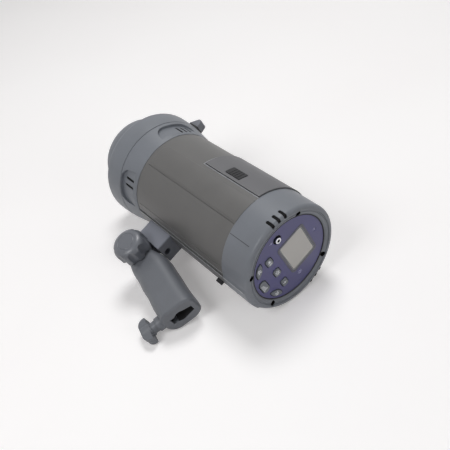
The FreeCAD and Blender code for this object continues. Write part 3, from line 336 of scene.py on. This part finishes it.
# ---- detail pieces ------------------------------------------------------------------------
REAR_X = -292.5
PANEL_X = -289.5
PANEL_R = 49.4
SEAM_X = -253.5
SHELL_X = -91.0
BUTTON_PLACES = {
    "button_left": (22.3, -20.6),
    "button_centre": (0.0, -20.6),
    "button_right": (-22.3, -20.6),
    "button_side_left": (24.6, -34.9),
    "button_side_right": (-24.6, -34.9),
    "button_main": (0.0, -40.6),
}
BUTTON_PROUD = 1.1
PRINT_H = 0.14              # height of a raised mark on a button
PANEL_PRINT_H = 0.1         # height of a mark on the panel
PRINT_SUNK = 0.05           # how far a mark is sunk into the face it is printed on
ICON_SCALE = 1.15
CAP_GAP = 0.8               # open gap round each button
JACK_PLACE = (37.4, 0.0)
JACK_MARK_PLACE = (40.8, -7.6)
LAMP_MARK_PLACE = (-32.5, 0.0)
PIVOT_X = -134.0
PIVOT_Z = -100.4
HANDLE_ANGLE = 74.6
GRIP_X = -141.5
HANDLE_L = 101.0
STAND_R = 8.1
VEE_TIP = (-15.5, 4.4)      # corner of the stand socket's vee
SOCKET_MOUTH, SOCKET_END = 0.7, 37.6
SCREW_PLACES = [(42.5, 32.6), (-42.5, 32.6), (29.9, -45.6), (-29.9, -45.6)]
SCREEN_Z = 12.1
PACK_EDGE = 69.6            # angle of the battery opening's long edges from the top


class Shape:
    """Gathers closed solids as vertices and faces, in upright millimetres."""

    def __init__(self):
        self.verts = []
        self.faces = []

    def loft(self, loops, closed=False):
        """Skin through loops of equal length, capped at both ends unless closed on itself."""
        start = len(self.verts)
        size = len(loops[0])
        for loop in loops:
            self.verts += loop
        pairs = list(zip(range(len(loops)), range(1, len(loops))))
        if closed:
            pairs.append((len(loops) - 1, 0))
        for one, two in pairs:
            for i in range(size):
                j = (i + 1) % size
                self.faces.append([start + one * size + i, start + one * size + j,
                                   start + two * size + j, start + two * size + i])
        if not closed:
            self.faces.append([start + i for i in range(size)])
            self.faces.append([start + (len(loops) - 1) * size + i for i in range(size)])

    def arc_plate(self, angle0, angle1, r0, r1, x0, x1, steps=24):
        """Plate bent round the optical axis; angles from the top towards the operator's left."""
        loops = []
        for i in range(steps + 1):
            angle = math.radians(angle0 + (angle1 - angle0) * i / steps)
            ends = [(x0, r0), (x1, r0), (x1, r1), (x0, r1)]
            loops.append([(x, r * math.sin(angle), r * math.cos(angle)) for x, r in ends])
        self.loft(loops)

    def ring(self, profile, y=0.0, z=0.0, steps=48):
        """Full turn of an (x, r) profile about a line along X."""
        loops = []
        for i in range(steps):
            angle = 2 * math.pi * i / steps
            loops.append([(x, y + r * math.cos(angle), z + r * math.sin(angle))
                          for x, r in profile])
        self.loft(loops, True)

    def frame(self, profile, width, height, corner, y, z, steps=6):
        """A profile of (x, inset) points carried round a rounded rectangle."""
        loops = []
        for cy, cz, start in ((1, 1, 0), (-1, 1, 90), (-1, -1, 180), (1, -1, 270)):
            for i in range(steps + 1):
                angle = math.radians(start + 90 * i / steps)
                middle = (y + cy * (width / 2 - corner), z + cz * (height / 2 - corner))
                loops.append([(x, middle[0] + (corner - inset) * math.cos(angle),
                               middle[1] + (corner - inset) * math.sin(angle))
                              for x, inset in profile])
        self.loft(loops, True)

    def make(self, name, finish, body, slot):
        mesh = bpy.data.meshes.new(name)
        mesh.from_pydata([ROLL @ Vector(v) for v in self.verts], [], self.faces)
        shape = bmesh.new()
        shape.from_mesh(mesh)
        bmesh.ops.recalc_face_normals(shape, faces=shape.faces)
        shape.to_mesh(mesh)
        shape.free()
        mesh.materials.append(MATERIALS[finish])
        item = bpy.data.objects.new(name, mesh)
        bpy.context.scene.collection.objects.link(item)
        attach(item, body)
        return item


class Print(Shape):
    """Raised marks on a face that looks backwards: points are (right, up) from its middle."""

    def __init__(self, face_x, y, z, height=PRINT_H):
        super().__init__()
        self.face_x, self.y, self.z, self.height = face_x, y, z, height

    def place(self, point, lift):
        right, up = ICON_SCALE * point[0], ICON_SCALE * point[1]
        return (self.face_x + PRINT_SUNK - lift, self.y - right, self.z + up)

    def solid(self, outline):
        self.loft([[self.place(p, lift) for p in outline] for lift in (0.0, self.height)])

    def stroke(self, points, width, closed=False):
        """Mitred ribbon along a line of points."""
        size = len(points)
        sides = []
        for i in range(size):
            before = points[i - 1] if closed or i > 0 else None
            after = points[(i + 1) % size] if closed or i < size - 1 else None
            turns = []
            for a, b in ((before, points[i]), (points[i], after)):
                if a is not None and b is not None:
                    along = Vector((b[0] - a[0], b[1] - a[1])).normalized()
                    turns.append(Vector((-along.y, along.x)))
            normal = sum(turns, Vector((0.0, 0.0))).normalized()
            reach = width / 2 / max(0.5, normal.dot(turns[0]))
            sides.append((normal * reach, Vector(points[i])))
        loops = []
        for offset, middle in sides:
            corners = [(1, 0.0), (-1, 0.0), (-1, self.height), (1, self.height)]
            loops.append([self.place(middle + way * offset, lift) for way, lift in corners])
        self.loft(loops, closed)

    def circle(self, right, up, radius, width, steps=20):
        turn = [2 * math.pi * i / steps for i in range(steps)]
        points = [(right + radius * math.cos(a), up + radius * math.sin(a)) for a in turn]
        self.stroke(points, width, True)


def speaker(mark):
    mark.solid([(-2.6, -0.9), (-1.4, -0.9), (0.2, -2.1), (0.2, 2.1), (-1.4, 0.9), (-2.6, 0.9)])
    for radius in (1.3, 2.5):
        angles = [math.radians(a) for a in (-48, -24, 0, 24, 48)]
        mark.stroke([(0.4 + radius * math.cos(a), radius * math.sin(a)) for a in angles], 0.75)


def lamp_rays(mark, scale=1.0):
    mark.circle(0.0, 0.0, 1.3 * scale, 0.8 * scale)
    for i in range(8):
        a = math.pi * i / 4
        ends = [(r * scale * math.cos(a), r * scale * math.sin(a)) for r in (2.1, 2.9)]
        mark.stroke(ends, 0.65 * scale)


def bolt(mark, right=0.0, scale=1.0):
    outline = [(0.9, 2.8), (-1.6, -0.3), (-0.2, -0.3), (-0.9, -2.8), (1.6, 0.5), (0.2, 0.5)]
    mark.solid([(right + a * scale, b * scale) for a, b in outline])


def bars(mark):
    for right, height in ((-3.0, 1.5), (-1.0, 2.3), (1.0, 3.1), (3.0, 3.9)):
        mark.stroke([(right, -2.0), (right, -2.0 + height)], 1.05)
    mark.stroke([(-4.6, -2.7), (4.6, -2.7)], 0.5)


def arrows(mark, facing):
    for right in (-1.6, 0.6):
        tip = (facing * (right + 1.9), 0.0)
        mark.stroke([(facing * right, 1.9), tip, (facing * right, -1.9)], 0.85)


ICONS = {
    "button_left": speaker,
    "button_centre": lamp_rays,
    "button_right": bolt,
    "button_side_left": lambda mark: arrows(mark, -1),
    "button_side_right": lambda mark: arrows(mark, 1),
    "button_main": bars,
}

for button_name, (button_y, button_z) in BUTTON_PLACES.items():
    icon = Print(PANEL_X - BUTTON_PROUD, button_y, button_z)
    ICONS[button_name](icon)
    icon.make("icon_" + button_name, "print_white", button_name, button_name)

jack_mark = Print(PANEL_X, *JACK_MARK_PLACE, PANEL_PRINT_H)
bolt(jack_mark, 0.0, 0.75)
jack_mark.make("mark_jack", "print_violet", "housing", "panel_plate")
lamp_mark = Print(PANEL_X, *LAMP_MARK_PLACE, PANEL_PRINT_H)
lamp_rays(lamp_mark, 0.95)
lamp_mark.make("mark_lamp", "print_violet", "housing", "panel_plate")

# black plates just inside the vents, painted shade that darkens the slots: angles, half angle,
# radii and x range of each group
VENT_GROUPS = (
    ((70.5, 78.4, 86.3), 1.6, (57.6, 61.2), (REAR_X + 0.9, REAR_X + 10.0)),
    ((36.0, 41.8, 47.6), 1.44, (57.0, 62.9), (-86.9, -72.1)),
    ((131.0, 139.0), 1.44, (57.0, 62.9), (-84.9, -68.6)),
)
vents = Shape()
for side in (1, -1):
    for middles, half, radii, reach in VENT_GROUPS:
        for middle in middles:
            vents.arc_plate(side * (middle - half), side * (middle + half), *radii, *reach, 2)
vents.make("vent_painted_shade", "deep_black", "housing", "rear_housing")

CUP_OUT, CUP_IN = 3.16, 2.7     # radii of the black ring of painted shade in a screw recess
CUP_END = 4.2
CUP_STEPS = 24


def cup_mouth(y, z):
    """Depth of the painted shade's mouth behind the rear face: it follows the rim's slope."""
    return 1.25 + 0.95 * max(0.0, 52.15 - math.hypot(y, z))


# painted shade: black rings sunk in the screw recesses darken them
recess_shade = Shape()
for screw_y, screw_z in SCREW_PLACES:
    walls = []
    for i in range(CUP_STEPS):
        turn = 2 * math.pi * i / CUP_STEPS
        outer, inner = [(screw_y + r * math.cos(turn), screw_z + r * math.sin(turn))
                        for r in (CUP_OUT, CUP_IN)]
        walls.append([(REAR_X + cup_mouth(*outer), *outer), (REAR_X + CUP_END, *outer),
                      (REAR_X + CUP_END, *inner), (REAR_X + cup_mouth(*inner), *inner)])
    recess_shade.loft(walls, True)
recess_shade.make("screw_recess_shade", "deep_black", "housing", "rear_housing")

# dark seal between the panel and the rim, as offsets from the panel's face and edge
GASKET = ((-0.35, 0.05), (0.3, 0.05), (0.1, 0.7), (-0.75, 1.1), (-0.85, 0.6))
gasket = Shape()
gasket.ring([(PANEL_X + x, PANEL_R + r) for x, r in GASKET], steps=120)
gasket.make("panel_gasket", "trim_black", "housing", "rear_housing")

LENS_R = 13.0               # a side button is where two circles of this radius overlap
LENS_OFFSET = 9.2           # half the distance between their middles
WELL_X = (PANEL_X + 0.35, PANEL_X + 2.4)
WELL_WALL = 0.5
WELL_GROW = CAP_GAP - 0.02  # the black painted shade stands just clear of the hole's wall
WELLS = (
    (11.0, 8.0, 2.4, ("button_left", "button_centre", "button_right")),
    (18.5, 9.0, 4.2, ("button_main",)),
)


def lens(grow, steps=12):
    """Outline of a side button as (outwards, along the edge) offsets."""
    radius = LENS_R + grow
    limit = math.acos(LENS_OFFSET / radius)
    angles = [limit * (1 - 2 * i / steps) for i in range(steps)]
    return [(way * (radius * math.cos(a) - LENS_OFFSET), way * radius * math.sin(a))
            for way in (1, -1) for a in angles]


# painted shade: black rings in the gaps round the buttons darken them
wells = Shape()
for width, height, corner, names in WELLS:
    for name in names:
        near, far = WELL_X
        wells.frame([(near, 0.0), (far, 0.0), (far, WELL_WALL), (near, WELL_WALL)],
                    width + 2 * WELL_GROW, height + 2 * WELL_GROW, corner + WELL_GROW,
                    *BUTTON_PLACES[name])
for name in ("button_side_left", "button_side_right"):
    well_y, well_z = BUTTON_PLACES[name]
    reach = math.hypot(well_y, well_z)
    out_y, out_z = well_y / reach, well_z / reach
    rims = []
    for outer, inner in zip(lens(WELL_GROW), lens(WELL_GROW - WELL_WALL)):
        near, far = WELL_X
        corners = [(near, *outer), (far, *outer), (far, *inner), (near, *inner)]
        rims.append([(x, well_y + o * out_y - s * out_z, well_z + o * out_z + s * out_y)
                     for x, o, s in corners])
    wells.loft(rims, True)
wells.make("button_gap_shade", "deep_black", "housing", "panel_plate")

THROAT_X = (-290.9, -284.0)     # black painted shade in the jack's bore
THROAT_OUT, THROAT_IN = 1.78, 1.5
throat = Shape()
throat.ring([(THROAT_X[0], THROAT_OUT), (THROAT_X[1], THROAT_OUT),
             (THROAT_X[1], THROAT_IN), (THROAT_X[0], THROAT_IN)], *JACK_PLACE, 24)
throat.make("jack_bore_shade", "deep_black", "housing", "jack_cup")


def swung(x, y, z):
    """Carries a point of the straight-down handle to its folded-back place."""
    turn = math.radians(HANDLE_ANGLE)
    dx, dz = x - PIVOT_X, z - PIVOT_Z
    return (PIVOT_X + dx * math.cos(turn) + dz * math.sin(turn), y,
            PIVOT_Z - dx * math.sin(turn) + dz * math.cos(turn))


def socket_path(inset):
    """Bore and vee of the stand socket, open on the clamp's side, as (x, y) from its axis."""
    radius = STAND_R - inset
    half = [(radius * math.cos(math.radians(a)), radius * math.sin(math.radians(a)))
            for a in range(42, 121, 6)]
    half.append((VEE_TIP[0] + inset, VEE_TIP[1] - 0.6 * inset))
    return half + [(x, -y) for x, y in reversed(half)]


# painted shade: a thin black skin inside the stand socket darkens its bore and vee
socket_shade = Shape()
mouth = PIVOT_Z - HANDLE_L
walls = []
for (ax, ay), (bx, by) in zip(socket_path(0.04), socket_path(0.3)):
    corners = [(ax, ay, SOCKET_MOUTH), (ax, ay, SOCKET_END),
               (bx, by, SOCKET_END), (bx, by, SOCKET_MOUTH)]
    walls.append([swung(GRIP_X + x, y, mouth + z) for x, y, z in corners])
socket_shade.loft(walls)
socket_shade.loft([[swung(GRIP_X + x, y, mouth + z) for x, y in socket_path(0.1)]
            for z in (SOCKET_END - 0.1, SOCKET_END + 0.2)])
socket_shade.make("socket_painted_shade", "rubber_and_socket_shade", "handle", "handle_grip")

# thin strips bent round the body, the pale ones painted highlights along the rail's and keel's
# edges: (angle from, to), (radius from, to), (x from, to), steps
SKIN = 61.9                 # a strip starts just under the body's surface
RAIL_RUN = (SEAM_X + 0.8, SHELL_X - 1.5)
PACK_FRONT = -163.2
STRIPS = {
    ("rear_parting_line", "trim_black", "rear_housing"): (
        ((113.8, 114.2), (61.8, 62.02), (-283.0, SEAM_X - 0.6)),
    ),
    # painted highlights: pale strips along the rail's edges
    ("rail_painted_highlights", "painted_highlight_pale", "bottom_rail"): (
        ((164.1, 165.1), (63.1, 63.34), RAIL_RUN),
        ((160.0, 160.8), (SKIN, 62.16), RAIL_RUN),
    ),
    ("rail_groove", "trim_black", "bottom_rail"): (
        ((161.0, 161.7), (SKIN, 62.06), RAIL_RUN),
    ),
    # painted highlights: pale strips along the keel's edges
    ("keel_painted_highlights", "painted_highlight_pale", "rear_housing"): (
        ((164.4, 166.0), (63.0, 63.34), (REAR_X + 6.2, SEAM_X - 0.5)),
    ),
}
for (name, finish, slot), strips in STRIPS.items():
    lines = Shape()
    for side in (1, -1):
        for angles, radii, reach in strips:
            lines.arc_plate(side * angles[0], side * angles[1], *radii, *reach, 2)
    lines.make(name, finish, "housing", slot)

BEVEL = ((-0.15, 0.02), (0.29, 0.02), (0.29, 1.1))
SCREEN_OPENING = (45.1, 34.1, 2.8)      # width, height, corner
bevel = Shape()
bevel.frame([(PANEL_X + x, inset) for x, inset in BEVEL], *SCREEN_OPENING, 0.0, SCREEN_Z)
bevel.make("screen_bevel", "bezel_grey", "housing", "lcd_module")

OPENING_HIGHLIGHT_ANGLE = 1.3            # width of the painted highlight along the battery opening's edge, in degrees
# painted highlight: pale strips along the battery opening's edges
trim = Shape()
for side in (1, -1):
    trim.arc_plate(side * (PACK_EDGE + 0.1), side * (PACK_EDGE + OPENING_HIGHLIGHT_ANGLE), SKIN, 62.16,
                   SEAM_X + 0.2, PACK_FRONT, 2)
trim.arc_plate(-PACK_EDGE - OPENING_HIGHLIGHT_ANGLE, PACK_EDGE + OPENING_HIGHLIGHT_ANGLE, SKIN, 62.16, -162.8, -161.5, 60)
trim.make("opening_painted_highlight", "painted_highlight_pale", "housing", "mid_shell")
gap = Shape()
gap.arc_plate(-PACK_EDGE - 0.1, PACK_EDGE + 0.1, SKIN, 62.1, PACK_FRONT - 0.1, -162.8, 60)
gap.make("opening_gap", "trim_black", "housing", "mid_shell")

# the rail's line carried on across the rear housing: x, radius of the foot, radius of the top
KEEL_STATIONS = ((REAR_X + 1.3, 60.2, 60.5), (REAR_X + 3.5, 61.4, 62.9),
                 (REAR_X + 6.0, 61.5, 63.2), (SEAM_X - 0.3, 61.8, 63.2))
keel = Shape()
stations = []
for x, base, top in KEEL_STATIONS:
    outline = [(160.0, base), *[(a, top) for a in np.linspace(164.5, 195.5, 13)], (200.0, base)]
    outline += [(a, base - 1.5) for a in np.linspace(198.0, 162.0, 13)]
    stations.append([(x, r * math.sin(math.radians(a)), r * math.cos(math.radians(a)))
                     for a, r in outline])
keel.loft(stations)
keel.make("rear_keel", "case_grey", "housing", "rear_housing")


# ---- floor, light and camera --------------------------------------------------------------
BALANCE = Vector((-0.160, 0.008, 0.0))      # the part's centre of mass, seen from above
FLOOR_HALF = 1.8
FLOOR_GLOW = 0.24           # lifts the paper towards white where it is only looked at
ROOM_FILL = 0.15            # light that the white room adds; it is seen as pure white
REACH = 0.1                 # steepest slope tried for the resting plane
LOW_BAND = 0.03             # only points this near the lowest one can touch the floor


def best(score, low, high, steps=26):
    """Golden-section search for the highest value of a concave function."""
    ratio = (math.sqrt(5) - 1) / 2
    a, b = low, high
    for _ in range(steps):
        left, right = b - ratio * (b - a), a + ratio * (b - a)
        if score(left) > score(right):
            b = right
        else:
            a = left
    return (a + b) / 2


def resting_plane():
    """Slopes and height of the plane that the part rests on, under its centre of mass."""
    points = np.vstack([np.array([v.co for v in node.data.vertices]) for node in NODES.values()])
    low = points[points[:, 2] < points[:, 2].min() + LOW_BAND]

    def height(a, b):
        return (low[:, 2] - a * low[:, 0] - b * low[:, 1]).min()

    def under(a, b):
        return height(a, b) + a * BALANCE.x + b * BALANCE.y

    def best_b(a):
        return best(lambda b: under(a, b), -REACH, REACH)

    slope_x = best(lambda a: under(a, best_b(a)), -REACH, REACH)
    slope_y = best_b(slope_x)
    return slope_x, slope_y, height(slope_x, slope_y)


def looked_at(tree):
    """1 for rays from the camera, from gloss and through glass, and 0 for light on things."""
    path = add(tree, "LightPath")
    value = path.outputs["Is Camera Ray"]
    for ray in ("Is Glossy Ray", "Is Transmission Ray"):
        either = add(tree, "Math", operation="MAXIMUM")
        tree.links.new(value, either.inputs[0])
        tree.links.new(path.outputs[ray], either.inputs[1])
        value = either.outputs["Value"]
    return value


def floor():
    """Plane of pale paper that the part rests on."""
    slope_x, slope_y, level = resting_plane()
    corners = [(-FLOOR_HALF, -FLOOR_HALF), (FLOOR_HALF, -FLOOR_HALF), (FLOOR_HALF, FLOOR_HALF),
               (-FLOOR_HALF, FLOOR_HALF)]
    mesh = bpy.data.meshes.new("floor")
    points = [(x, y, slope_x * x + slope_y * y + level) for x, y in corners]
    mesh.from_pydata(points, [], [(0, 1, 2, 3)])
    plane = bpy.data.objects.new("floor", mesh)
    bpy.context.scene.collection.objects.link(plane)
    mat, tree, shader = new_material("floor_paper", Specular_IOR_Level=0.2)
    place = add(tree, "TexCoord").outputs["Object"]
    cloud = noise(tree, place, 3.0, 3.0)
    tint = ramp(tree, cloud, linear("f6f4f4"), linear("f9f8f8"))
    tree.links.new(tint, shader.inputs["Base Color"])
    tree.links.new(span(tree, cloud, 0.75, 0.85), shader.inputs["Roughness"])
    shader.inputs["Emission Color"].default_value = linear("fffcfb")
    glow = span(tree, looked_at(tree), 0.0, FLOOR_GLOW, (0.0, 1.0))
    tree.links.new(glow, shader.inputs["Emission Strength"])
    mesh.materials.append(mat)


def lamp(name, place, aim, size, power, color=(1, 1, 1)):
    data = bpy.data.lights.new(name, "AREA")
    data.shape = "DISK"
    data.size = size
    data.energy = power
    data.color = color
    item = bpy.data.objects.new(name, data)
    item.location = place
    item.rotation_mode = "QUATERNION"
    item.rotation_quaternion = (Vector(aim) - Vector(place)).to_track_quat("-Z", "Y")
    bpy.context.scene.collection.objects.link(item)


def world():
    """White room: faint as a light, pure white where it is looked at."""
    sky = bpy.data.worlds.new("studio")
    sky.use_nodes = True
    tree = sky.node_tree
    tree.nodes.clear()
    rays = looked_at(tree)
    fill = add(tree, "Background", Color=(1.0, 1.0, 1.0, 1.0), Strength=ROOM_FILL)
    seen = add(tree, "Background", Color=(1.0, 1.0, 1.0, 1.0), Strength=1.0)
    mix = add(tree, "MixShader", [("Fac", rays)])
    tree.links.new(fill.outputs[0], mix.inputs[1])
    tree.links.new(seen.outputs[0], mix.inputs[2])
    out = add(tree, "OutputWorld")
    tree.links.new(mix.outputs[0], out.inputs["Surface"])
    bpy.context.scene.world = sky


CAMERA_PLACE = (-627.1, 513.0, -99.6)
CAMERA_AIM = (-182.0, -14.7, -9.2)
CAMERA_UP = (0, 0.8459, 0.5334)


def camera():
    """Camera at the operator's rear left, looking down on the lying strobe."""
    place = ROLL @ Vector(CAMERA_PLACE)
    target = ROLL @ Vector(CAMERA_AIM)
    up = ROLL.to_3x3() @ Vector(CAMERA_UP)
    back = (place - target).normalized()
    side = up.cross(back).normalized()
    turn = Matrix((side, back.cross(side), back)).transposed()
    data = bpy.data.cameras.new("camera")
    data.sensor_width = 36.0
    data.lens = 47.55
    data.clip_start, data.clip_end = 0.01, 50.0
    item = bpy.data.objects.new("camera", data)
    item.matrix_world = Matrix.Translation(place) @ turn.to_4x4()
    bpy.context.scene.collection.objects.link(item)
    bpy.context.scene.camera = item


floor()
world()
middle = (-0.15, 0.0, 0.0)
lamp("key", (0.3, -0.5, 1.8), middle, 0.8, 16.0)
lamp("side", (-0.3, 1.2, 1.2), middle, 0.8, 8.5)
lamp("front", (-1.5, -0.2, 0.6), middle, 0.8, 2.5)
camera()
bpy.context.scene.view_settings.view_transform = "Standard"
